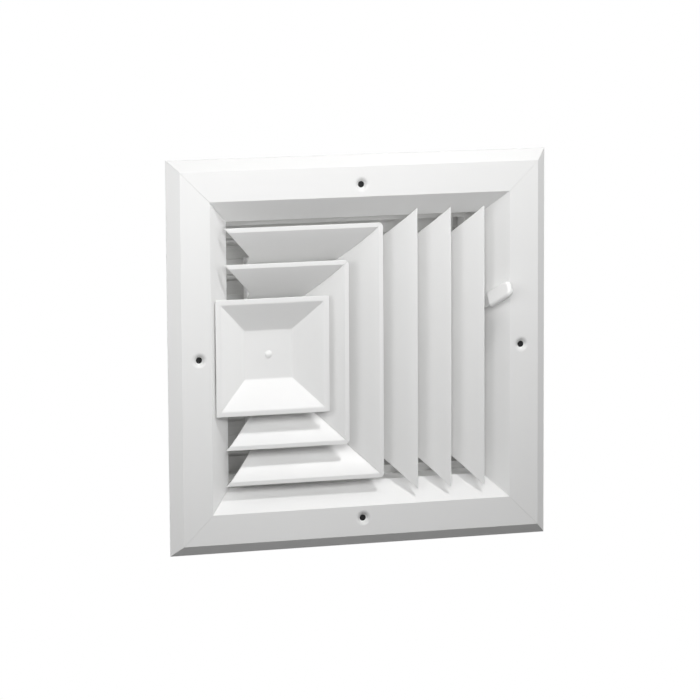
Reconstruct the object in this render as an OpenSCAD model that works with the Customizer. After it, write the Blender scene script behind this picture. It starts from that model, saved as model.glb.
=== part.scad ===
// Square three-way ceiling air diffuser with a lever-operated damper behind its vanes.
// It is drawn upright: the face looks along -Y, +Z is up and +Y runs back into the duct.
// The origin is the centre of the ceiling plane, on which the frame's outer feet rest.

/* [Face frame] */
// Outer width of the square collar that enters the duct
neck_w = 202.8; // [194:0.1:212]
// Wall of the collar
neck_t = 1.2; // [0.8:0.1:2]
// Width of the sloping lip between the collar and the flat face
lip_w = 16.6; // [15:0.1:22]
// Depth of the sloping lip, front to back
lip_d = 16.6; // [14:0.1:18]
// Width of the flat face
face_w = 22.5; // [20:0.1:32]
// Width of the outer bevel
bevel_w = 8.2; // [5:0.1:14]
// Depth of the frame in front of the ceiling
frame_d = 10; // [9:0.1:12]
// Height of the square outer edge
edge_h = 1.2; // [0.8:0.1:2]
// Wall of the frame's face, bevel and lip
frame_t = 1.8; // [1.6:0.1:2.2]
// Width of the foot that rests on the ceiling
foot_w = 2.6; // [2.2:0.1:5]
// Gap left in each mitre joint
mitre_gap = 0.1; // [0.05:0.05:0.3]

/* [Screw holes] */
// Bore of the screw holes
screw_d = 4.8; // [4:0.1:5.2]
// Width of their countersinks
sink_d = 7.8; // [6.5:0.1:7.9]
// Distance from the inner edge of the flat face to the screw holes
screw_in = 9.1; // [8.5:0.1:12]

/* [Corner keys] */
// Width of the corner keys
key_w = 9; // [6:0.5:10]
// Thickness of the corner keys
key_t = 2.5; // [1.5:0.1:3]
// Length of each leg of a key, from the centre line of the other leg
key_len = 32; // [20:1:45]
// Wall of the ribs that hold the keys
rib_t = 1.2; // [0.8:0.1:1.6]
// How far each rib hooks over its key
rib_hook = 1; // [0.5:0.1:1.5]
// Clearance round a key
key_gap = 0.15; // [0.05:0.05:0.3]

/* [Vanes] */
// Sheet of the vanes
vane_t = 1.2; // [0.8:0.1:1.5]
// Distance that a vane runs in, from its front edge to its tail
vane_in = 30; // [27:0.1:32]
// Slope of a vane to the face, just behind its front edge
vane_slope_front = 30; // [24:1:36]
// Slope of a vane to the face, where its tail begins
vane_slope_back = 54; // [48:1:60]
// Distance behind the ceiling at which the tails begin
vane_back = 17.7; // [16:0.1:20]
// Length of the tails
tail_len = 6; // [4:0.1:8]
// Width of the flat rim on the U vanes
rim_w = 3.2; // [2.5:0.1:5]
// Width of the flat front edge on the straight vanes
edge_w = 0.8; // [0.5:0.1:2]
// Corner radius of the U vanes' rims
rim_r = 3.5; // [2:0.1:6]
// Distance from the collar line in to the rim of the outer U vane
u_inset = 3.7; // [2:0.1:6]
// Distance that the left ends of the U vanes reach past the collar line
u_reach = 4.9; // [1:0.1:6]
// Distance along which those ends are cut at 45 degrees, before they run straight back
u_slant = 23.6; // [20:0.1:25]
// Step from the outer U vane in to the inner one
u_step = 27; // [26:0.1:29]
// Step from the rim of the outer U vane to the first straight vane
u_lead = 26.3; // [25:0.1:28]
// Step between straight vanes
vane_step = 26.5; // [26:0.1:28]
// Distance that the ends of the straight vanes reach past the collar line
vane_reach = 6.4; // [2:0.1:8]

/* [Dish] */
// Gap between the rim of the inner U vane and the square dish
dish_gap = 16; // [12:0.1:24]
// Width of the dish's flat rim
dish_rim = 3.8; // [2.5:0.1:6]
// Width of its flat floor
dish_floor = 36.6; // [30:0.1:44]
// Depth of the floor behind the rim
dish_d = 12; // [8:0.1:13]
// Sheet of the dish
dish_t = 1; // [0.8:0.1:1.2]
// Corner radius of the rim
dish_r = 0.8; // [0.5:0.1:4]
// Distance that the rim stands in front of the ceiling
dish_front = 8; // [7.8:0.1:9]
// Distance that the left edge of the dish reaches past the collar line
dish_reach = 12.6; // [9:0.1:12.8]

/* [Support bars] */
// Thickness of the bars
bar_t = 1.5; // [1:0.1:2]
// Depth of the bars, front to back
bar_d = 10; // [9:0.1:14]
// Gap between the bend of the vanes and the front of the bars
bar_gap = 0.3; // [0.1:0.1:1]
// Clearance round a vane's tail in its slot
slot_gap = 0.15; // [0.05:0.05:0.3]
// Distance from the middle of the dish to the upright bar
upright_off = 11.2; // [9:0.1:16]
// Length of the upright bar beyond its end slots
upright_end = 3; // [2:0.1:6]
// Gap between the tails of the inner U vane and the cross bars
cross_gap = 2; // [1:0.1:6]
// Length of the tabs at the ends of the bars
tab_len = 12; // [9:0.5:14]
// Sheet of the bracket that carries the dish
bracket_t = 1.2; // [0.8:0.1:1.6]
// Height of that bracket
bracket_h = 16; // [10:0.5:24]

/* [Rivets] */
// Shank of the rivets
rivet_d = 3.2; // [2.4:0.1:4]
// Width of their heads
rivet_head_d = 6; // [5:0.1:6.4]
// Height of their heads
rivet_head_h = 1.3; // [0.8:0.1:1.6]
// Shank of the lever's rivets
lever_rivet_d = 2.4; // [1.8:0.1:2.8]
// Width of the heads on the lever's rivets
lever_rivet_head_d = 4.6; // [3.5:0.1:5]
// Clearance of a shank in its hole
rivet_gap = 0.05; // [0.02:0.01:0.1]

/* [Damper] */
// Sheet of the damper frame
damper_t = 0.9; // [0.6:0.1:1.2]
// Width of its front and rear flanges
damper_flange = 5; // [3:0.1:5.5]
// Clearance between the damper frame and the collar
damper_fit = 0.15; // [0.05:0.05:0.3]
// Gap between the bars and the damper frame
damper_gap = 1.9; // [1:0.1:4]
// Length of collar that overlaps the damper frame
collar_lap = 7.6; // [7.2:0.1:14]
// Distance of the damper's rivets from the middle of each side
damper_rivet_x = 60; // [50:1:75]
// Sheet of the blades
blade_t = 0.8; // [0.6:0.1:1]
// Overlap of the closed blades
blade_lap = 0.9; // [0.4:0.1:2]
// Gap between the closed blades and the damper frame
blade_gap = 5; // [0.4:0.1:6]
// Gap between the turning blades and the damper's flanges
swing_gap = 1.1; // [0.5:0.1:3]
// Gap between the blades' left ends and the damper frame
blade_end = 2; // [1.5:0.1:4]
// Tilt of the closed blades
closed_tilt = 4; // [4:1:8]
// Diameter of the rods on which the blades turn
rod_d = 4; // [3:0.1:5]
// Wall of the bead that holds a rod
bead_t = 0.8; // [0.6:0.1:1.2]
// Length of rod outside the damper frame
rod_end = 1; // [0.4:0.1:1.3]
// Running clearance of rods and pins
run_gap = 0.05; // [0.02:0.01:0.1]
// Clearance of a rod in its bead, and of a pin in the tie bar
press_gap = 0.02; // [0.01:0.01:0.05]

/* [Linkage and lever] */
// Thickness of the ear at the right end of each blade
ear_t = 1; // [0.8:0.1:1.4]
// Space between the ears and the damper frame
ear_room = 7.65; // [7.4:0.05:8.5]
// Width of the ears
ear_w = 8; // [7:0.1:9]
// Throw of the ears, from rod to tie bar pin
crank_r = 9; // [8:0.1:10]
// Diameter of the tie bar pins
pin_d = 3; // [2:0.1:3.5]
// Width of the tie bar
tie_w = 6; // [5:0.1:7]
// Thickness of the tie bar
tie_t = 1.2; // [0.8:0.1:1.6]
// Gap between ears and tie bar
tie_gap = 0.4; // [0.2:0.1:0.8]
// Width of the heads on the tie bar pins
pin_head_d = 5; // [4:0.1:6]
// Height of those heads
pin_head_h = 0.8; // [0.5:0.1:1.5]
// Thickness of the lever strip
lever_t = 1; // [0.8:0.1:1.1]
// Width of the lever strip
lever_w = 7.5; // [6:0.1:8]
// Distance from the rod to the near end of the lever's foot
foot_in_r = 6.5; // [6:0.1:8]
// Distance from the rod to the bend where the foot ends
foot_out_r = 18; // [17:0.1:19]
// Gap left for the lever between the last straight vane and the collar line
lever_pass = 3.2; // [2.4:0.1:4]
// Length by which the lever's straight stretch overruns the edges that bound that gap
pass_run = 1; // [0.5:0.1:2]
// Distance from the rod to the base of the knob
knob_r = 61.1; // [58:0.1:66]
// Distance of the knob's base outside the middle of that gap
knob_out = 3.8; // [2:0.1:5]
// Lean of the knob to the right
knob_lean = 28.5; // [22:0.1:35]
// Length of the knob
knob_len = 23.5; // [18:0.1:28]
// Width of the knob in the lever's plane
knob_w = 12.6; // [9:0.1:14]
// Thickness of the knob
knob_t = 5.5; // [5:0.1:6]
// Radius of the knob's long edges
knob_edge_r = 1.8; // [0.5:0.1:2.4]
// Radius of the corners at the knob's tip
knob_tip_r = 5.6; // [2:0.1:6]
// Length of the lever's tongue inside the knob
tongue_len = 14; // [10:0.5:16]
// Width of that tongue
tongue_w = 5.5; // [4:0.1:6]
// Clearance of the tongue in the knob
tongue_gap = 0.1; // [0.05:0.05:0.2]
// Swing of the lever above and below level
lever_swing = 34.2; // [26:0.1:38]
// Tilt of the lever above level as drawn
lever_rest = 33.9; // [0:0.1:38]

/* [Hidden] */
$fn = 64;

// Colours of the finishes
paint = [0.93, 0.93, 0.92];
zinc = [0.66, 0.68, 0.69];
steel = [0.74, 0.75, 0.76];
plastic = [0.97, 0.97, 0.96];

// Overlap that carries a cut clear of the face it starts from
cut = 1;
// Shift of a cut edge that leaves half the mitre gap on each side of a 45 degree joint
mitre_shift = mitre_gap / sqrt(2);

// Half widths of the frame, from the collar out to the outer edge
neck_in = neck_w / 2 - neck_t;
open_in = neck_in + lip_w;
face_out = open_in + face_w;
outer = face_out + bevel_w;
// Depths of the frame
skin_y = frame_t - frame_d;
lip_y = lip_d - frame_d;
screw_u = open_in + screw_in;

// Front edges of the vanes
vane_x = [for (i = [2:-1:0]) neck_in - lever_pass - i * vane_step];
u_up = neck_in - u_inset;
u_right = vane_x[0] - u_lead;
u_left = -neck_in - u_reach;
// The dish fills the room from its reach over the left lip to its gap from the inner U vane
dish_left = -neck_in - dish_reach;
dish_right = u_right - u_step - dish_gap;
dish_w = dish_right - dish_left;
dish_x = (dish_left + dish_right) / 2;

// Places of the bars: they start behind the bend of the vanes
bar_front = vane_back + bar_gap;
bar_back = bar_front + bar_d;
bar_mid = bar_front + bar_d / 2;
upright_x = dish_x - upright_off;
upright_half = u_up - vane_in + vane_t + slot_gap + upright_end;
cross_z = u_up - u_step - vane_in - cross_gap - bar_t / 2;
// Distance of a tab's rivet from the middle of its bar
tab_mid = (bar_t + tab_len) / 2;
// Heights of the rivets in the bracket's leg
leg_rivet_z = [-bracket_h / 4, bracket_h / 4];

// Blades share the height of the damper, and the damper is as deep as a blade needs to turn
blade_n = 7;
drive = 4;
damper_out = neck_in - damper_fit;
damper_in = damper_out - damper_t;
blade_step = (2 * (damper_in - blade_gap) - blade_lap) / blade_n;
blade_w = (blade_step + blade_lap) / cos(closed_tilt);
damper_d = blade_w + 2 * (damper_t + swing_gap);
damper_front = bar_back + damper_gap;
damper_back = damper_front + damper_d;
damper_rivet_y = damper_front + damper_t + rivet_head_d / 2 + rivet_gap;
axis_y = damper_front + damper_d / 2;
neck_y = damper_front + collar_lap;

// Turn of a blade's sheet from upright while the lever is level
plate_turn = closed_tilt + lever_swing;
ear_x = damper_in - ear_room;
tie_x = ear_x + tie_gap;
foot_x = ear_x - ear_t - lever_t / 2;
// The lever runs straight through the middle of the gap, from behind the last vane's edge, which it
// passes while level, to in front of the lip's edge, which it passes at the ends of its swing
pass_x = neck_in - lever_pass / 2;
pass_in_r = axis_y - vane_front(edge_w) - vane_t - pass_run;
lip_edge_r = (axis_y - lip_y + lever_w / 2 * sin(lever_swing)) / cos(lever_swing);
pass_out_r = max(pass_in_r, lip_edge_r) + pass_run;
knob_x = pass_x + knob_out;
lever_rivet_r = [foot_in_r + lever_rivet_head_d / 2, foot_out_r - lever_rivet_head_d / 2];

function blade_z(i) = (blade_n + 1 - 2 * i) / 2 * blade_step;

// A section drawn as (up, depth) and run along X, about the middle
module along_x(len) {
  rotate([0, -90, 0])
    linear_extrude(len, center = true)
      children();
}

// A section drawn as (depth, up) and run along X from one place to another
module run_x(from, to) {
  translate([from, 0, 0])
    rotate([90, 0, 90])
      linear_extrude(to - from)
        children();
}

// An outline drawn as (X, Z) and run from a front depth to a back one
module along_y(front, back) {
  translate([0, back, 0])
    rotate([90, 0, 0])
      linear_extrude(back - front)
        children();
}

// The same, right through the whole diffuser
module through_y() {
  along_y(-2 * frame_d, 2 * damper_back)
    children();
}

// The quarter of the square above the middle, cut at 45 degrees at both ends
module mitre_quarter() {
  reach = outer + cut;
  through_y()
    translate([0, mitre_shift])
      polygon([[0, 0], [reach, reach], [-reach, reach]]);
}

// A rivet that stands along +Z: a domed head below 0 and a flush shank above it
module rivet(grip, shank_d = rivet_d, head_d = rivet_head_d) {
  dome_r = (head_d * head_d / 4 + rivet_head_h * rivet_head_h) / (2 * rivet_head_h);
  cylinder(d = shank_d, h = grip);
  intersection() {
    translate([0, 0, dome_r - rivet_head_h])
      sphere(dome_r);
    translate([0, 0, -rivet_head_h])
      cylinder(d = head_d, h = rivet_head_h);
  }
}

// A hole for a rivet, along Z and about the middle
module rivet_hole(grip, shank_d = rivet_d) {
  cylinder(d = shank_d + 2 * rivet_gap, h = grip, center = true);
}

// The same hole along X
module rivet_hole_x(grip, shank_d = rivet_d) {
  rotate([0, 90, 0])
    rivet_hole(grip, shank_d);
}

// Outline of half the channel that holds a corner key, drawn as (distance from its middle, depth)
rib_in = key_w / 2 + key_gap;
hook_y = skin_y + key_t + 2 * key_gap;
key_rib = [
  [rib_in + rib_t, skin_y],
  [rib_in + rib_t, hook_y + rib_t],
  [rib_in - rib_hook, hook_y + rib_t],
  [rib_in - rib_hook, hook_y],
  [rib_in, hook_y],
  [rib_in, skin_y]
];

// Section of the frame extrusion, drawn as (distance from the middle, depth)
module frame_section() {
  bevel_d = frame_d - edge_h;
  bevel_back = frame_t * norm([bevel_w, bevel_d]) / bevel_w - edge_h;
  lip_len = norm([lip_w, lip_d]);
  polygon(concat(
    [
      [outer - foot_w, min(0, bevel_back - foot_w * bevel_d / bevel_w)],
      [outer - foot_w, 0],
      [outer, 0],
      [outer, -edge_h],
      [face_out, -frame_d],
      [open_in, -frame_d],
      [neck_in, lip_y],
      [neck_in, neck_y],
      [neck_in + neck_t, neck_y],
      [neck_in + neck_t, lip_y - neck_t * lip_d / lip_w + frame_t * lip_len / lip_w],
      [open_in + frame_t * (lip_len - lip_w) / lip_d, skin_y]
    ],
    [for (i = [0:5]) [screw_u - key_rib[i][0], key_rib[i][1]]],
    [for (i = [5:-1:0]) [screw_u + key_rib[i][0], key_rib[i][1]]],
    [[outer - (bevel_back - skin_y) * bevel_w / bevel_d, skin_y]]
  ));
}

// One mitred length of the frame, as the top one lies, with rivet holes through its collar at (X, Y) places
module frame_member(holes) {
  color(paint)
    difference() {
      intersection() {
        along_x(2 * outer)
          frame_section();
        mitre_quarter();
      }
      translate([0, -frame_d, screw_u])
        rotate([-90, 0, 0]) {
          cylinder(d = screw_d, h = 2 * frame_t);
          cylinder(d1 = sink_d, d2 = screw_d, h = (sink_d - screw_d) / 2);
        }
      for (hole = concat(holes, [[-damper_rivet_x, damper_rivet_y], [damper_rivet_x, damper_rivet_y]]))
        translate([hole[0], hole[1], neck_in])
          rivet_hole(4 * neck_t);
    }
}

// Rivets of the cross bars' tabs pass through the collar, left and right
cross_rivets = [[-cross_z - tab_mid, bar_mid], [cross_z + tab_mid, bar_mid]];

module frame_top() {
  frame_member([]);
}

module frame_right() {
  rotate([0, 90, 0])
    frame_member(cross_rivets);
}

module frame_bottom() {
  mirror([0, 0, 1])
    frame_top();
}

module frame_left() {
  mirror([1, 0, 0])
    frame_right();
}

// Flat L of steel that lies in the channels of two frame members
module corner_key() {
  along_y(skin_y + key_gap, skin_y + key_gap + key_t)
    for (turn = [0, 1])
      mirror(turn * [1, -1])
        translate([screw_u - key_len, screw_u - key_w / 2])
          square([key_len + key_w / 2, key_w]);
}

module corner_keys() {
  color(steel)
    for (x = [0, 1], z = [0, 1])
      mirror([x, 0, 0])
        mirror([0, 0, z])
          corner_key();
}

// Radius of a vane's curve, which starts at the inner edge of its rim, and depth of its front edge
function vane_bow(rim) = (vane_in - rim) / (sin(vane_slope_back) - sin(vane_slope_front));
function vane_front(rim) = vane_back - vane_bow(rim) * (cos(vane_slope_front) - cos(vane_slope_back));

// All that lies behind the front side of a vane's section, or behind its back side a sheet further in,
// drawn as (distance in from the front edge, depth)
module behind_vane(rim, sheet, over) {
  bow = vane_bow(rim);
  front = vane_front(rim);
  intersection() {
    translate([-over, front + sheet])
      square([vane_in - sheet + over, vane_back + tail_len - front - sheet + over]);
    translate([rim - bow * sin(vane_slope_front), front + bow * cos(vane_slope_front)])
      circle(bow - sheet);
  }
}

// Section of a vane: a flat rim, a curve and a straight tail
module vane_section(rim) {
  difference() {
    behind_vane(rim, 0, 0);
    behind_vane(rim, vane_t, cut);
  }
}

// What a rounded corner takes off an outline whose corner is at (right, up)
module corner_waste(right, up, r) {
  translate([right - r, up - r])
    difference() {
      square(r + cut);
      circle(r);
    }
}

// A level length of a U vane, as the top one lies: mitred at the right, cut back at the left
module level_vane(right, up) {
  inner = vane_in + cut;
  color(paint)
    intersection() {
      along_x(2 * outer)
        translate([up, 0])
          mirror([1, 0])
            vane_section(rim_w);
      through_y()
        difference() {
          polygon([
            [u_left, up],
            [right - mitre_shift, up],
            [right - mitre_shift - inner, up - inner],
            [u_left + u_slant, up - inner],
            [u_left + u_slant, up - u_slant]
          ]);
          corner_waste(right, up, rim_r);
        }
    }
}

// An upright vane with its ends cut at 45 degrees: the right side of a U vane, or a straight vane
module upright_vane(right, up, rim, corner) {
  inner = vane_in + cut;
  top = up - mitre_shift;
  color(paint)
    intersection() {
      linear_extrude(2 * outer, center = true)
        translate([right, 0])
          mirror([1, 0])
            vane_section(rim);
      through_y()
        difference() {
          polygon([[right, top], [right, -top], [right - inner, inner - top], [right - inner, top - inner]]);
          for (side = [0, 1])
            mirror([0, side])
              corner_waste(right, up, corner);
        }
    }
}

module u_outer_top() {
  level_vane(u_right, u_up);
}

module u_outer_right() {
  upright_vane(u_right, u_up, rim_w, rim_r);
}

module u_outer_bottom() {
  mirror([0, 0, 1])
    u_outer_top();
}

module u_inner_top() {
  level_vane(u_right - u_step, u_up - u_step);
}

module u_inner_right() {
  upright_vane(u_right - u_step, u_up - u_step, rim_w, rim_r);
}

module u_inner_bottom() {
  mirror([0, 0, 1])
    u_inner_top();
}

module straight_vane(i) {
  upright_vane(vane_x[i - 1], neck_in + vane_reach, edge_w, vane_t / 2);
}

// A square hollow of the dish, from its mouth in front to its floor, moved back by a sheet or not
module dish_hollow(back) {
  mouth = dish_w / 2 - dish_rim;
  front = back - dish_front;
  side = [
    [-mouth, front - cut],
    [mouth, front - cut],
    [mouth, front],
    [dish_floor / 2, front + dish_d],
    [-dish_floor / 2, front + dish_d],
    [-mouth, front]
  ];
  intersection() {
    linear_extrude(dish_w, center = true)
      polygon(side);
    along_x(dish_w)
      polygon(side);
  }
}

module dish() {
  color(paint)
    translate([dish_x, 0, 0])
      difference() {
        union() {
          along_y(-dish_front, dish_t - dish_front)
            difference() {
              square(dish_w, center = true);
              for (x = [0, 1], z = [0, 1])
                mirror([x, 0])
                  mirror([0, z])
                    corner_waste(dish_w / 2, dish_w / 2, dish_r);
            }
          intersection() {
            dish_hollow(dish_t);
            along_y(-dish_front, dish_d + dish_t)
              square(dish_w, center = true);
          }
        }
        dish_hollow(0);
        rotate([90, 0, 0])
          rivet_hole(4 * dish_d);
      }
}

// Depth of the back of the dish's floor
floor_back = dish_d + dish_t - dish_front;

module dish_rivet() {
  color(paint)
    translate([dish_x, floor_back - dish_t, 0])
      rotate([-90, 0, 0])
        rivet(dish_t + bracket_t);
}

// Angle of sheet: one leg is riveted to the back of the dish, the other to the upright bar
module dish_bracket() {
  leg_x = upright_x + bar_t / 2;
  width = dish_x + bracket_h / 2 - leg_x;
  depth = bar_back - floor_back;
  color(paint)
    difference() {
      linear_extrude(bracket_h, center = true)
        translate([leg_x, floor_back])
          difference() {
            square([width, depth]);
            translate([bracket_t, bracket_t])
              square([width, depth]);
          }
      translate([dish_x, floor_back, 0])
        rotate([90, 0, 0])
          rivet_hole(4 * bracket_t);
      for (z = leg_rivet_z)
        translate([leg_x, bar_mid, z])
          rivet_hole_x(4 * bracket_t);
    }
}

// Slot in a bar for the tail of a vane, drawn as (depth, place) about the middle of the tail
module tail_slot() {
  slot_d = tail_len - bar_gap + slot_gap;
  translate([bar_front - cut, -vane_t / 2 - slot_gap])
    square([slot_d + cut, vane_t + 2 * slot_gap]);
}

// Upright bar on edge behind the U vanes, halved at the back where the cross bars pass
module upright_bar() {
  color(paint)
    translate([upright_x, 0, 0])
      difference() {
        run_x(-bar_t / 2, bar_t / 2)
          difference() {
            translate([bar_front, -upright_half])
              square([bar_d, 2 * upright_half]);
            for (side = [-1, 1], up = [u_up, u_up - u_step])
              translate([0, side * (up - vane_in + vane_t / 2)])
                tail_slot();
            for (side = [-1, 1])
              translate([bar_mid, side * cross_z - bar_t / 2 - slot_gap])
                square([bar_d, bar_t + 2 * slot_gap]);
          }
        for (z = leg_rivet_z)
          translate([0, bar_mid, z])
            rivet_hole_x(4 * bar_t);
      }
}

// Cross bar on edge behind the upright vanes, halved in front where the upright bar passes, with a tab
// riveted to the collar at each end
module cross_bar_top() {
  color(paint)
    translate([0, 0, cross_z])
      difference() {
        union() {
          linear_extrude(bar_t, center = true)
            difference() {
              translate([-neck_in, bar_front])
                square([2 * neck_in, bar_d]);
              for (right = concat([u_right - u_step, u_right], vane_x))
                translate([right - vane_in + vane_t / 2, 0])
                  rotate(90)
                    mirror([0, 1])
                      tail_slot();
              translate([upright_x - bar_t / 2 - slot_gap, bar_mid - bar_d])
                square([bar_t + 2 * slot_gap, bar_d]);
            }
          for (side = [-1, 1])
            translate([side * (neck_in - bar_t / 2), bar_mid, tab_len / 2])
              cube([bar_t, bar_d, tab_len + bar_t], center = true);
        }
        translate([0, bar_mid, tab_mid])
          rivet_hole_x(2 * neck_w);
      }
}

module cross_bar_bottom() {
  mirror([0, 0, 1])
    cross_bar_top();
}

// Rivets of the cross bars' tabs and of the bracket's leg
module core_rivets() {
  color(steel) {
    for (side = [0, 1], end = [0, 1])
      mirror([0, 0, side])
        mirror([end, 0, 0])
          translate([neck_in - bar_t, bar_mid, cross_z + tab_mid])
            rotate([0, 90, 0])
              rivet(bar_t + neck_t);
    for (z = leg_rivet_z)
      translate([upright_x + bar_t / 2 + bracket_t, bar_mid, z])
        rotate([0, -90, 0])
          rivet(bracket_t + bar_t);
  }
}

// Section of the damper frame, drawn as (distance from the middle, depth)
module damper_section() {
  difference() {
    translate([damper_out - damper_t - damper_flange, damper_front])
      square([damper_t + damper_flange, damper_d]);
    translate([damper_out - damper_t - damper_flange - cut, damper_front + damper_t])
      square([damper_flange + cut, damper_d - 2 * damper_t]);
  }
}

// One mitred side of the damper frame, as the top one lies
module damper_side() {
  difference() {
    intersection() {
      along_x(2 * outer)
        damper_section();
      mitre_quarter();
    }
    for (side = [-1, 1])
      translate([side * damper_rivet_x, damper_rivet_y, damper_out])
        rivet_hole(4 * damper_t);
  }
}

module damper_top() {
  color(zinc)
    damper_side();
}

module damper_bottom() {
  color(zinc)
    mirror([0, 0, 1])
      damper_side();
}

// Upright side of the damper frame, with a hole for each blade's rod
module damper_right() {
  color(zinc)
    difference() {
      rotate([0, 90, 0])
        damper_side();
      for (i = [1:blade_n])
        translate([damper_out, axis_y, blade_z(i)])
          rotate([0, 90, 0])
            cylinder(d = rod_d + 2 * run_gap, h = 4 * damper_t, center = true);
    }
}

module damper_left() {
  mirror([1, 0, 0])
    damper_right();
}

module damper_rivets() {
  color(steel)
    for (turn = [0:90:270], side = [-1, 1])
      rotate([0, turn, 0])
        translate([side * damper_rivet_x, damper_rivet_y, damper_in])
          rivet(damper_t + damper_fit + neck_t);
}

// Frame of a blade: its rod is the X axis, and -Y points along the lever
module blade_place(i) {
  translate([0, axis_y, blade_z(i)])
    rotate([-lever_rest, 0, 0])
      children();
}

// Ear at the right end of a blade, drawn as (depth, up): it runs back to the tie bar's pin,
// and on the drive blade also forward under the lever's foot
module ear(with_lever) {
  circle(d = ear_w);
  translate([0, -ear_w / 2])
    square([crank_r, ear_w]);
  translate([crank_r, 0])
    circle(d = ear_w);
  if (with_lever)
    translate([-foot_out_r, -ear_w / 2])
      square([foot_out_r, ear_w]);
}

module blade(i) {
  color(zinc)
    blade_place(i)
      difference() {
        union() {
          run_x(blade_end - damper_in, ear_x - ear_t) {
            rotate(plate_turn)
              square([blade_t, blade_w], center = true);
            circle(rod_d / 2 + press_gap + bead_t);
          }
          run_x(ear_x - ear_t, ear_x)
            ear(i == drive);
        }
        run_x(-neck_w, neck_w)
          circle(rod_d / 2 + press_gap);
        run_x(ear_x - ear_t - cut, ear_x + cut)
          translate([crank_r, 0])
            circle(pin_d / 2 + run_gap);
        if (i == drive)
          for (r = lever_rivet_r)
            translate([ear_x, -r, 0])
              rivet_hole_x(4 * ear_t, lever_rivet_d);
      }
}

module blade_rod(i) {
  color(steel)
    translate([0, axis_y, blade_z(i)])
      rotate([0, 90, 0])
        cylinder(d = rod_d, h = 2 * (damper_out + rod_end), center = true);
}

// Place of a tie bar pin, as (depth, up)
function pin_place(i) = [axis_y + crank_r * cos(lever_rest), blade_z(i) - crank_r * sin(lever_rest)];

// Flat bar that links the ears of all the blades
module tie_bar() {
  low = pin_place(blade_n);
  high = pin_place(1);
  color(zinc)
    run_x(tie_x, tie_x + tie_t)
      difference() {
        union() {
          translate([low[0] - tie_w / 2, low[1]])
            square([tie_w, high[1] - low[1]]);
          for (end = [low, high])
            translate(end)
              circle(d = tie_w);
        }
        for (i = [1:blade_n])
          translate(pin_place(i))
            circle(pin_d / 2 + press_gap);
      }
}

// Pins that are fixed in the tie bar and turn in the ears
module tie_pins() {
  color(steel)
    for (i = [1:blade_n])
      translate([0, pin_place(i)[0], pin_place(i)[1]])
        rotate([0, 90, 0]) {
          translate([0, 0, ear_x - ear_t])
            cylinder(d = pin_d, h = ear_t + tie_gap + tie_t);
          translate([0, 0, tie_x + tie_t])
            cylinder(d = pin_head_d, h = pin_head_h);
        }
}

// A straight stretch of the lever strip between two (X, Y) points, with a round bend at its far end
module strip(from, to) {
  run = to - from;
  translate(from)
    rotate(atan2(run[1], run[0]))
      translate([0, -lever_t / 2])
        square([norm(run), lever_t]);
  translate(to)
    circle(d = lever_t);
}

// Steel strip: a foot on the drive blade's ear, an arm that slants out to the gap beside the last vane,
// runs straight through it and slants out again, and a tongue in the knob
module lever_arm() {
  knob_base = [knob_x, -knob_r];
  knob_way = [sin(knob_lean), -cos(knob_lean)];
  color(paint)
    blade_place(drive)
      difference() {
        union() {
          linear_extrude(lever_w, center = true) {
            strip([foot_x, -foot_in_r], [foot_x, -foot_out_r]);
            strip([foot_x, -foot_out_r], [pass_x, -pass_in_r]);
            strip([pass_x, -pass_in_r], [pass_x, -pass_out_r]);
            strip([pass_x, -pass_out_r], knob_base);
          }
          linear_extrude(tongue_w, center = true)
            strip(knob_base, knob_base + (tongue_len - lever_t) * knob_way);
        }
        for (r = lever_rivet_r)
          translate([foot_x, -r, 0])
            rivet_hole_x(4 * lever_t, lever_rivet_d);
      }
}

// Moulded cap on the lever's tongue: a flat bar with round edges and a round tip
module lever_knob() {
  side = knob_t / 2;
  up = knob_w / 2;
  color(plastic)
    blade_place(drive)
      translate([knob_x, -knob_r, 0])
        rotate([0, 0, knob_lean])
          difference() {
            intersection() {
              along_y(-knob_len, -lever_t)
                difference() {
                  square([knob_t, knob_w], center = true);
                  for (x = [0, 1], z = [0, 1])
                    mirror([x, 0])
                      mirror([0, z])
                        corner_waste(side, up, knob_edge_r);
                }
              run_x(-side, side)
                difference() {
                  translate([-knob_len, -up])
                    square([knob_len, knob_w]);
                  for (z = [0, 1])
                    mirror([0, z])
                      mirror([1, 0])
                        corner_waste(knob_len, up, knob_tip_r);
                }
              linear_extrude(knob_w, center = true)
                difference() {
                  translate([-side, -knob_len])
                    square([knob_t, knob_len]);
                  for (x = [0, 1])
                    mirror([x, 0])
                      mirror([0, 1])
                        corner_waste(side, knob_len, knob_edge_r);
                }
            }
            translate([0, -tongue_len / 2, 0])
              cube([lever_t, tongue_len, tongue_w] + 2 * tongue_gap * [1, 1, 1], center = true);
          }
}

// Rivets that fix the lever's foot to the drive blade's ear, with their heads on the foot
module lever_rivets() {
  color(steel)
    blade_place(drive)
      for (r = lever_rivet_r)
        translate([foot_x - lever_t / 2, -r, 0])
          rotate([0, 90, 0])
            rivet(lever_t + ear_t, lever_rivet_d, lever_rivet_head_d);
}

frame_top();
frame_right();
frame_bottom();
frame_left();
corner_keys();
u_outer_top();
u_outer_right();
u_outer_bottom();
u_inner_top();
u_inner_right();
u_inner_bottom();
straight_vane(1);  // straight_vane_1
straight_vane(2);  // straight_vane_2
straight_vane(3);  // straight_vane_3
dish();
dish_rivet();
dish_bracket();
upright_bar();
cross_bar_top();
cross_bar_bottom();
core_rivets();
damper_top();
damper_right();
damper_bottom();
damper_left();
damper_rivets();
blade(1);  // blade_1
blade(2);  // blade_2
blade(3);  // blade_3
blade(4);  // blade_4
blade(5);  // blade_5
blade(6);  // blade_6
blade(7);  // blade_7
blade_rod(1);  // blade_rod_1
blade_rod(2);  // blade_rod_2
blade_rod(3);  // blade_rod_3
blade_rod(4);  // blade_rod_4
blade_rod(5);  // blade_rod_5
blade_rod(6);  // blade_rod_6
blade_rod(7);  // blade_rod_7
tie_bar();
tie_pins();
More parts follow.
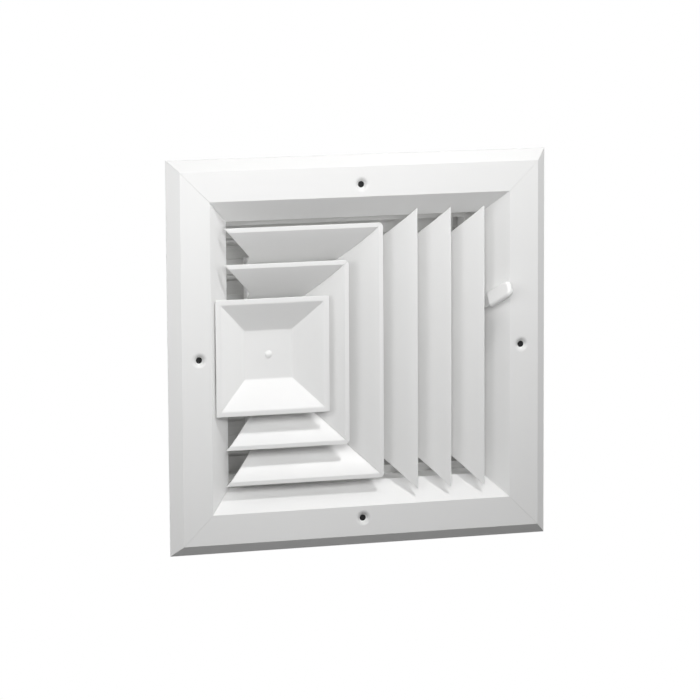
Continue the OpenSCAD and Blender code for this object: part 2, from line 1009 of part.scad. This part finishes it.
lever_arm();
lever_knob();
lever_rivets();
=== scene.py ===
import math

import bmesh
import bpy
from mathutils import Matrix, Vector


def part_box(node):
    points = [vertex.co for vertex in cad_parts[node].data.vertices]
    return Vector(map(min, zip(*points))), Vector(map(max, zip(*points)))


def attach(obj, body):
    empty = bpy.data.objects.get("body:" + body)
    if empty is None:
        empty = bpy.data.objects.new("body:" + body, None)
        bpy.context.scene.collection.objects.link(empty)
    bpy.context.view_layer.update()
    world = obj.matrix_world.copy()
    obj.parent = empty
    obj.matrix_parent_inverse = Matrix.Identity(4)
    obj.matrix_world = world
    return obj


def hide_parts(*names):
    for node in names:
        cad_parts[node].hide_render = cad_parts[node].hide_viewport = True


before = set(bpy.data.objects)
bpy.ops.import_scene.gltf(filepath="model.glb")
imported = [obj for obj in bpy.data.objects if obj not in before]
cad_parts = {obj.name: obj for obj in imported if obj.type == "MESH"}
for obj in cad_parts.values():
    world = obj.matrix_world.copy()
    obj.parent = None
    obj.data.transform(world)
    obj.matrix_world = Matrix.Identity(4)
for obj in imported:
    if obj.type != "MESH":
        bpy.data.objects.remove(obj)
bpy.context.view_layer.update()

# The outer frame: four lengths of extruded aluminium, mitred at 45 degrees and powder coated white.
# Each has an outer bevel, a flat face with one countersunk screw hole, and a lip that slopes back
# into the collar. The coat is thick enough to round every edge a little.


class Wire:
    """An output in a material's node tree. Sums of wires and numbers add Math nodes to the tree."""

    def __init__(self, tree, socket=None):
        self.tree = tree
        self.socket = socket

    def node(self, kind, settings, sockets, out=0):
        made = self.tree.nodes.new(kind)
        for name, value in settings.items():
            setattr(made, name, value)
        for key, value in sockets.items():
            if isinstance(value, Wire):
                self.tree.links.new(value.socket, made.inputs[key])
            else:
                made.inputs[key].default_value = value
        return Wire(self.tree, made.outputs[out])

    def math(self, operation, first, second):
        return self.node("ShaderNodeMath", {"operation": operation}, {0: first, 1: second})

    def __add__(self, other):
        return self.math("ADD", self, other)

    def __sub__(self, other):
        return self.math("SUBTRACT", self, other)

    def __rsub__(self, other):
        return self.math("SUBTRACT", other, self)

    def __mul__(self, other):
        return self.math("MULTIPLY", self, other)

    __radd__ = __add__
    __rmul__ = __mul__


def new_finish(name):
    """A bare finish, with its shader and a wire that holds the places on the piece."""
    finish = bpy.data.materials.new(name)
    finish.use_nodes = True
    shader = finish.node_tree.nodes["Principled BSDF"]
    places = Wire(finish.node_tree).node("ShaderNodeTexCoord", {}, {}, "Object")
    return finish, shader, places


def grain(places, scale, detail=2.0, stretch=(1.0, 1.0, 1.0)):
    """Cloudy noise from 0 to 1, drawn out along an axis where its stretch is small."""
    drawn = places.node("ShaderNodeMapping", {}, {"Vector": places, "Scale": stretch})
    return places.node(
        "ShaderNodeTexNoise", {}, {"Vector": drawn, "Scale": scale, "Detail": detail}
    )


def blend(amount, low, high):
    """A colour between two, by an amount from 0 to 1."""
    return amount.node(
        "ShaderNodeMix", {"data_type": "RGBA"}, {"Factor": amount, 6: low, 7: high}, 2
    )


def relief(height, depth=1.0):
    """Surface relief whose height is multiplied by a depth in metres."""
    return height.node(
        "ShaderNodeBump", {}, {"Height": height, "Distance": depth, "Strength": 1.0}
    )


def feed(shader, **inputs):
    """Links wires to the shader's inputs, which are named with underscores for spaces."""
    for name, wire in inputs.items():
        wire.tree.links.new(wire.socket, shader.inputs[name.replace("_", " ")])


def powder_coat(name, low, high, pressing=None):
    """White stove enamel: a thick, faintly rippled film with dust and handling marks in its gloss."""
    finish, shader, places = new_finish(name)
    clouds = grain(places, scale=9.0, detail=3.0)
    smears = grain(places, scale=55.0, detail=4.0)
    ripple_depth = 0.000015
    height = ripple_depth * grain(places, scale=620.0, detail=1.0)
    if pressing:
        height = height + pressing(places)
    feed(
        shader,
        Base_Color=blend(clouds, low, high),
        Roughness=0.30 + 0.16 * smears,
        Normal=relief(height),
    )
    return finish


hole_from_centre = 0.1259
face_height = 0.00835
hollow_inside = 0.0032
hollow_outside = 0.0062
hollow_depth = 0.0009


def smooth_step(amount, start, end):
    """Rises softly from 0 at the start to 1 at the end."""
    return amount.node(
        "ShaderNodeMapRange",
        {"interpolation_type": "SMOOTHSTEP"},
        {"Value": amount, "From Min": start, "From Max": end},
    )


def screw_hollows(places):
    """The shallow hollow that the countersinking punch leaves round each of the four screw holes."""
    folded = places.node("ShaderNodeVectorMath", {"operation": "ABSOLUTE"}, {0: places})
    side_hole, upper_hole = (
        places.node("ShaderNodeVectorMath", {"operation": "DISTANCE"}, {0: folded, 1: middle}, "Value")
        for middle in ((hole_from_centre, face_height, 0), (0, face_height, hole_from_centre))
    )
    nearest = places.math("MINIMUM", side_hole, upper_hole)
    return hollow_depth * smooth_step(nearest, hollow_inside, hollow_outside)


paint_low = (0.90, 0.90, 0.892, 1)
paint_high = (0.925, 0.925, 0.92, 1)
frame_coat = powder_coat("frame_powder_coat", paint_low, paint_high, screw_hollows)
frame_edge = 0.00018


def finish_piece(shape, node, body, edge, finish, sharp=24.0):
    """Turns a shape into the piece that stands for a CAD node, with its sharp edges rounded."""
    for face in shape.faces:
        face.smooth = True
    mesh = bpy.data.meshes.new(node)
    shape.to_mesh(mesh)
    shape.free()
    piece = bpy.data.objects.new(node + "_made", mesh)
    bpy.context.scene.collection.objects.link(piece)
    piece.data.materials.append(finish)
    rounding = piece.modifiers.new("rounded_edges", "BEVEL")
    rounding.width = edge
    rounding.segments = 2
    rounding.limit_method = "ANGLE"
    rounding.angle_limit = math.radians(sharp)
    flats = piece.modifiers.new("flat_faces", "WEIGHTED_NORMAL")
    flats.weight = 50
    flats.keep_sharp = True
    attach(piece, body)
    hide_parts(node)


def soften(node, body, edge, finish):
    """A copy of a CAD node whose cut edges are rounded by a small amount, in its own finish."""
    shape = bmesh.new()
    shape.from_mesh(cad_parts[node].data)
    bmesh.ops.remove_doubles(shape, verts=shape.verts, dist=0.000002)
    bmesh.ops.dissolve_limit(
        shape, angle_limit=math.radians(0.5), verts=shape.verts, edges=shape.edges
    )
    finish_piece(shape, node, body, edge, finish)


for side in ("top", "right", "bottom", "left"):
    soften("frame_" + side, "housing", frame_edge, frame_coat)

# Corner keys: flat steel angles, zinc plated, that lie in ribs behind the flat face of the frame.
# They are pushed into both lengths at a corner and hold its mitre shut.


def plated(name, low, high):
    """Zinc-plated steel: a dull bright metal with soft mottling."""
    finish, shader, places = new_finish(name)
    shader.inputs["Metallic"].default_value = 1.0
    mottle = grain(places, scale=140.0, detail=5.0)
    feed(
        shader,
        Base_Color=blend(mottle, low, high),
        Roughness=0.32 + 0.2 * grain(places, scale=400.0),
    )
    return finish


zinc_plate = plated("zinc_plate", (0.52, 0.53, 0.54, 1), (0.68, 0.69, 0.70, 1))
cut_edge = 0.0002
soften("corner_keys", "housing", cut_edge, zinc_plate)

# Painted shade behind the screw holes: near-black strips in the ribs between the keys, with a faint
# speckle.
# They darken the empty holes from the front, where only shade is seen, and a screw would go through
# them.
pad_length = 0.040
pad_width = 0.0088
pad_thickness = 0.0022
pad_edge = 0.0004
pad_depth = -0.0068
shade_speckle_depth = 0.0003
# The near-black colour of these strips is painted shade for the empty screw holes.
hole_shade_finish, hole_shade_shader, hole_shade_places = new_finish("painted_hole_shade")
shade_speckle = hole_shade_places.node(
    "ShaderNodeTexVoronoi", {}, {"Vector": hole_shade_places, "Scale": 1400.0}, "Distance"
)
feed(
    hole_shade_shader,
    Base_Color=blend(shade_speckle, (0.004, 0.004, 0.004, 1), (0.022, 0.022, 0.023, 1)),
    Roughness=0.82 + 0.15 * shade_speckle,
    Normal=relief(shade_speckle, shade_speckle_depth),
)
pad_shape = bmesh.new()
for turn in range(4):
    pad = bmesh.ops.create_cube(pad_shape, size=1.0)["verts"]
    bmesh.ops.scale(pad_shape, verts=pad, vec=(pad_length, pad_thickness, pad_width))
    bmesh.ops.translate(pad_shape, verts=pad, vec=(0, pad_depth, hole_from_centre))
    bmesh.ops.rotate(
        pad_shape, verts=pad, cent=(0, 0, 0), matrix=Matrix.Rotation(turn * math.pi / 2, 3, "Y")
    )
bmesh.ops.bevel(
    pad_shape,
    geom=pad_shape.edges[:],
    offset=pad_edge,
    segments=2,
    profile=0.5,
    affect="EDGES",
    material=-1,
)
pad_mesh = bpy.data.meshes.new("painted_shade_pads")
pad_shape.to_mesh(pad_mesh)
pad_shape.free()
# The strips that carry the painted shade of the holes.
painted_shade_pads = bpy.data.objects.new("painted_shade_pads", pad_mesh)
painted_shade_pads.data.materials.append(hole_shade_finish)
bpy.context.scene.collection.objects.link(painted_shade_pads)
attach(painted_shade_pads, "housing")

# The two U vanes, each of three lengths of curved aluminium sheet: a flat rim in front, a hollow
# curve that throws the air aside, and a tail. Their mitres are glued before they are coated white.
white_coat = powder_coat("white_powder_coat", paint_low, paint_high)
vane_edge = 0.00025
for ring in ("outer", "inner"):
    for side in ("top", "right", "bottom"):
        soften("u_" + ring + "_" + side, "housing", vane_edge, white_coat)

# Three straight vanes of the same curved sheet, with a narrow front edge and ends cut at 45 degrees.
# Their tails stand in the slots of the cross bars.
for number in (1, 2, 3):
    soften("straight_vane_%d" % number, "housing", vane_edge, white_coat)

# The dish in the middle of the U vanes: a square of aluminium sheet, pressed into a shallow pan
# with a flat rim and soft folds, and coated white.
dish_rim = 0.0038
dish_floor = 0.0366
dish_sheet = 0.001
dish_edge = 0.0003
fold_width = 0.0009
dish_low, dish_high = (Vector(corner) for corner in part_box("dish"))
dish_width = dish_high.x - dish_low.x
dish_shape = bmesh.new()
bmesh.ops.create_grid(dish_shape, x_segments=1, y_segments=1, size=dish_width / 2)
pan = list(dish_shape.faces)
bmesh.ops.inset_individual(dish_shape, faces=pan, thickness=dish_rim, use_even_offset=True)
folds = list(pan[0].edges)
bmesh.ops.inset_individual(
    dish_shape,
    faces=pan,
    thickness=(dish_width - dish_floor) / 2 - dish_rim,
    depth=dish_sheet - (dish_high.y - dish_low.y),
    use_even_offset=True,
)
folds += list(pan[0].edges)
bmesh.ops.bevel(
    dish_shape, geom=folds, offset=fold_width, segments=4, profile=0.5, affect="EDGES", material=-1
)
bmesh.ops.solidify(dish_shape, geom=dish_shape.faces[:], thickness=dish_sheet)
bmesh.ops.transform(
    dish_shape,
    matrix=Matrix.Translation(
        ((dish_low.x + dish_high.x) / 2, dish_low.y, (dish_low.z + dish_high.z) / 2)
    )
    @ Matrix.Rotation(math.radians(90), 4, "X"),
    verts=dish_shape.verts,
)
finish_piece(dish_shape, "dish", "housing", dish_edge, white_coat)

# The dish hangs on one blind rivet with a low domed head, coated with it. Behind its floor the rivet
# holds an angle of bent sheet, whose other leg is riveted to the upright bar.
soften("dish_rivet", "housing", cut_edge, white_coat)
soften("dish_bracket", "housing", cut_edge, white_coat)

# Support bars: flat aluminium bars on edge behind the vanes, slotted for their tails. The upright bar
# is halved over the two cross bars, whose ends are bent over and riveted to the collar.
for node in ("upright_bar", "cross_bar_top", "cross_bar_bottom"):
    soften(node, "housing", cut_edge, white_coat)
soften("core_rivets", "housing", cut_edge, zinc_plate)

# The damper's frame: four sides of plain aluminium sheet, flanged front and back and mitred. It
# slides into the back of the collar, and eight rivets hold it there.


def rolled(name, low, high):
    """Plain aluminium sheet: fine streaks along the way it was rolled, dulled by its oxide."""
    finish, shader, places = new_finish(name)
    shader.inputs["Metallic"].default_value = 0.45
    streaks = grain(places, scale=90.0, detail=5.0, stretch=(0.12, 6.0, 6.0))
    feed(
        shader,
        Base_Color=blend(streaks, low, high),
        Roughness=0.46 + 0.2 * streaks,
    )
    return finish


plain_aluminium = rolled("plain_aluminium", (0.63, 0.63, 0.62, 1), (0.75, 0.75, 0.74, 1))
for side in ("top", "right", "bottom", "left"):
    soften("damper_" + side, "housing", cut_edge, plain_aluminium)
soften("damper_rivets", "housing", cut_edge, zinc_plate)

# Seven damper blades of plain aluminium sheet, each rolled round a zinc-plated rod on which it
# turns. An ear at the right end of each blade carries a pin of the tie bar.
blade_count = 7
middle_blade = 4
for number in range(1, blade_count + 1):
    body = "drive_blade" if number == middle_blade else "damper_blade_%d" % number
    soften("blade_%d" % number, body, cut_edge, plain_aluminium)
    soften("blade_rod_%d" % number, body, cut_edge, zinc_plate)

# The tie bar, a flat bar of plain aluminium, links the ears so that all the blades turn together.
# Its seven headed pins are riveted into it and run in the ears.
soften("tie_bar", "tie", cut_edge, plain_aluminium)
soften("tie_pins", "tie", cut_edge, zinc_plate)

# The lever: a bent strip of steel, painted white, riveted to the ear of the middle blade. It comes
# out through the gap beside the last straight vane.
soften("lever_arm", "drive_blade", cut_edge, white_coat)
soften("lever_rivets", "drive_blade", cut_edge, zinc_plate)

# The lever's knob: a flat thumb piece of glossy white plastic with a full round edge, moulded in two
# halves and pushed onto the strip. A fine parting line runs round the middle of its edge.
knob_length = 0.0235
knob_width = 0.0126
knob_thickness = 0.0055
knob_edge = 0.0025
knob_corner = 0.0048
base_edge = 0.0003
base_inset = 0.001
parting_inside = 0.00004
parting_outside = 0.00014
parting_depth = 0.0001
base_right = 0.1024
base_from_rod = 0.0611
knob_lean = math.radians(28.5)
lever_tilt = math.radians(33.9)
rod_low, rod_high = (Vector(corner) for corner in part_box("blade_rod_4"))
knob_place = (
    Matrix.Translation((0, (rod_low.y + rod_high.y) / 2, (rod_low.z + rod_high.z) / 2))
    @ Matrix.Rotation(-lever_tilt, 4, "X")
    @ Matrix.Translation((base_right, -base_from_rod, 0))
    @ Matrix.Rotation(knob_lean, 4, "Z")
)
knob_shape = bmesh.new()
bmesh.ops.create_cube(knob_shape, size=1.0)
bmesh.ops.scale(
    knob_shape, verts=knob_shape.verts, vec=(knob_thickness, 2 * knob_length, knob_width)
)
tip_edges = [
    edge for edge in knob_shape.edges
    if sum(vert.co.y for vert in edge.verts) < -knob_length
    and abs(edge.verts[0].co.x - edge.verts[1].co.x) > knob_edge
]
bmesh.ops.bevel(
    knob_shape,
    geom=tip_edges,
    offset=knob_corner,
    segments=10,
    profile=0.5,
    affect="EDGES",
    material=-1,
)
long_edges = {
    edge for face in knob_shape.faces if abs(face.normal.x) > 0.9 for edge in face.edges
}
bmesh.ops.bevel(
    knob_shape,
    geom=list(long_edges),
    offset=knob_edge,
    segments=6,
    profile=0.5,
    affect="EDGES",
    material=-1,
)
bmesh.ops.bisect_plane(
    knob_shape,
    geom=knob_shape.verts[:] + knob_shape.edges[:] + knob_shape.faces[:],
    plane_co=(0, -base_inset, 0),
    plane_no=(0, 1, 0),
    clear_outer=True,
)
bmesh.ops.holes_fill(knob_shape, edges=knob_shape.edges[:], sides=0)
bmesh.ops.transform(knob_shape, matrix=knob_place, verts=knob_shape.verts)
knob_across = knob_place.to_3x3() @ Vector((1, 0, 0))
knob_plastic, knob_shader, knob_places = new_finish("knob_plastic")
off_middle = knob_places.node(
    "ShaderNodeVectorMath",
    {"operation": "DOT_PRODUCT"},
    {0: knob_places, 1: tuple(knob_across)},
    "Value",
) - knob_place.translation.dot(knob_across)
off_middle = off_middle.math("ABSOLUTE", off_middle, 0.0)
parting = smooth_step(off_middle, parting_inside, parting_outside)
knob_clouds = grain(knob_places, scale=160.0, detail=3.0)
knob_ripple = grain(knob_places, scale=900.0, detail=1.0)
feed(
    knob_shader,
    Base_Color=blend(knob_clouds, (0.965, 0.965, 0.955, 1), (0.985, 0.985, 0.98, 1)),
    Roughness=0.24 + 0.14 * grain(knob_places, scale=240.0, detail=4.0),
    Normal=relief(parting + 0.05 * knob_ripple, parting_depth),
)
finish_piece(
    knob_shape, "lever_knob", "drive_blade", base_edge, knob_plastic, sharp=50.0
)

# The studio: a small key lamp high on the right and soft lamps round the front and sides, in a room
# that is white to the eye but gives no light. The plain pale floor below fades into it.
scene = bpy.context.scene
scene.view_settings.view_transform = "Standard"


def lamp(name, rise, turn, distance, width, power):
    """A square soft lamp that faces the diffuser, at a height and a turn to the right in degrees."""
    rise, turn = math.radians(rise), math.radians(turn)
    place = distance * Vector(
        (math.cos(rise) * math.sin(turn), -math.cos(rise) * math.cos(turn), math.sin(rise))
    )
    data = bpy.data.lights.new(name, "AREA")
    data.shape = "SQUARE"
    data.size = width
    data.energy = power
    light = bpy.data.objects.new(name, data)
    light.location = place
    light.rotation_mode = "QUATERNION"
    light.rotation_quaternion = (-place).to_track_quat("-Z", "Y")
    scene.collection.objects.link(light)


lamp("key_lamp", rise=58, turn=32, distance=0.70, width=0.09, power=1.57)
lamp("front_lamp", rise=20, turn=-10, distance=0.62, width=0.25, power=1.49)
lamp("front_right_lamp", rise=25, turn=12, distance=0.62, width=0.25, power=0.32)
lamp("left_lamp", rise=15, turn=-45, distance=0.62, width=0.25, power=0.69)
lamp("right_lamp", rise=5, turn=75, distance=0.95, width=0.5, power=1.5)
lamp("top_lamp", rise=75, turn=-40, distance=0.95, width=0.5, power=0.95)
lamp("edge_lamp", rise=20, turn=-100, distance=0.95, width=0.5, power=3.15)


def ray_kind(wire, name):
    """1 for a ray of the named kind, and 0 for any other."""
    return wire.node("ShaderNodeLightPath", {}, {}, name)


def eye_ray(wire):
    """1 for a ray that starts at the eye, also by a reflection or through glass, and else 0."""
    straight = ray_kind(wire, "Is Camera Ray")
    mirrored = ray_kind(wire, "Is Glossy Ray")
    through = ray_kind(wire, "Is Transmission Ray")
    return wire.math("MAXIMUM", wire.math("MAXIMUM", straight, mirrored), through)


world = bpy.data.worlds.new("white_room")
scene.world = world
world.use_nodes = True
backdrop = world.node_tree.nodes["Background"]
backdrop.inputs["Color"].default_value = (1, 1, 1, 1)
world.node_tree.links.new(eye_ray(Wire(world.node_tree)).socket, backdrop.inputs["Strength"])

floor_drop = -0.60
floor_radius = 6.0
fade_start = 0.75
fade_end = 1.15
near_paleness = 0.55
floor_shape = bmesh.new()
bmesh.ops.create_circle(floor_shape, cap_ends=True, segments=96, radius=floor_radius)
bmesh.ops.translate(floor_shape, verts=floor_shape.verts, vec=(0, 0, floor_drop))
floor_mesh = bpy.data.meshes.new("floor")
floor_shape.to_mesh(floor_mesh)
floor_shape.free()
floor = bpy.data.objects.new("floor", floor_mesh)
scene.collection.objects.link(floor)
floor_paper, floor_shader, floor_places = new_finish("floor_paper")
floor_shader.inputs["Base Color"].default_value = (0.5, 0.5, 0.5, 1)
floor_shader.inputs["Roughness"].default_value = 0.9
floor.data.materials.append(floor_paper)
from_middle = floor_places.node(
    "ShaderNodeVectorMath", {"operation": "LENGTH"}, {0: floor_places}, "Value"
)
far_floor = smooth_step(from_middle, fade_start, fade_end) * eye_ray(floor_places)
near_floor = near_paleness * ray_kind(floor_places, "Is Camera Ray")
white = floor_places.node("ShaderNodeEmission", {}, {"Color": (1, 1, 1, 1), "Strength": 1.0})
shaded = Wire(floor_paper.node_tree, floor_shader.outputs[0])
floor_look = floor_places.node(
    "ShaderNodeMixShader",
    {},
    {"Fac": floor_places.math("MAXIMUM", far_floor, near_floor), 1: shaded, 2: white},
)
floor_output = floor_paper.node_tree.nodes["Material Output"]
floor_paper.node_tree.links.new(floor_look.socket, floor_output.inputs["Surface"])

camera_data = bpy.data.cameras.new("camera")
camera_data.sensor_width = 36.0
camera_data.lens = 185.4
camera = bpy.data.objects.new("camera", camera_data)
camera_place = Vector((-0.7987, -2.5497, 0.4002))
sight = Vector((0.2934, 0.9445, -0.1480)).normalized()
across = Vector((0.9547, -0.2974, -0.0056))
across = (across - sight * across.dot(sight)).normalized()
camera_turn = Matrix((across, across.cross(sight), -sight)).transposed()
camera.matrix_world = Matrix.Translation(camera_place) @ camera_turn.to_4x4()
scene.collection.objects.link(camera)
scene.camera = camera
